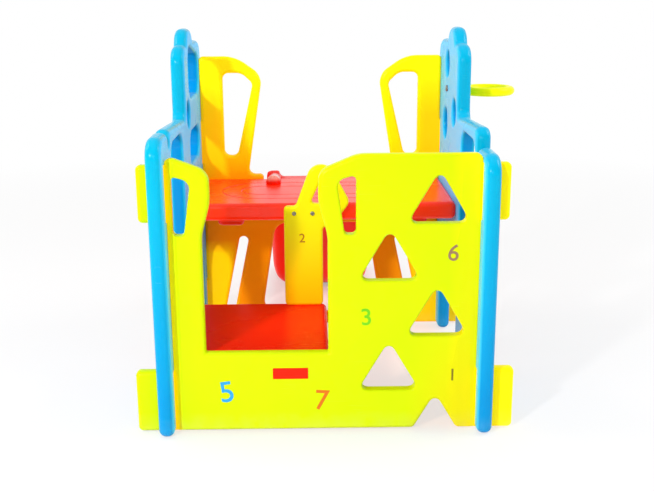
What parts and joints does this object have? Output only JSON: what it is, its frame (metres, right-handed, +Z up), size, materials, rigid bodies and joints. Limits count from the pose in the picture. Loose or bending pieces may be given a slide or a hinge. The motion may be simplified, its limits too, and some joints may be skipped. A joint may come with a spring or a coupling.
{
  "type": "toddler climbing gym",
  "caption": "Free-standing toddler climbing gym: blue side panels, yellow climbing panel with gateway, rear panel with grab handles, red deck, step and slide, small ball hoop.",
  "frame": {"origin": "on the floor, in the middle of the bounding box", "axes": "+Z up, +Y from the front gateway towards the foot of the slide, +X to the right as seen from the front"},
  "size_m": [1.141, 1.6814, 1.058],
  "materials": {
    "blue_plastic": "semi-gloss moulded polyethylene, sky blue",
    "yellow_plastic": "semi-gloss moulded polyethylene, lemon yellow",
    "red_plastic": "semi-gloss moulded polyethylene, orange red",
    "steel": "plain zinc plated steel"
  },
  "bodies": {
    "root": {"left_side_panel": "blue_plastic", "right_side_panel": "blue_plastic", "front_panel": "yellow_plastic", "rear_panel": "yellow_plastic", "deck": "red_plastic", "step": "red_plastic", "centre_post": "yellow_plastic", "slide": "red_plastic", "hoop": "yellow_plastic", "hoop_bolt": "steel", "hoop_nut": "steel", "post_screws": "steel", "post_foot_screws": "steel", "slide_screws": "steel"}
  },
  "joints": []
}
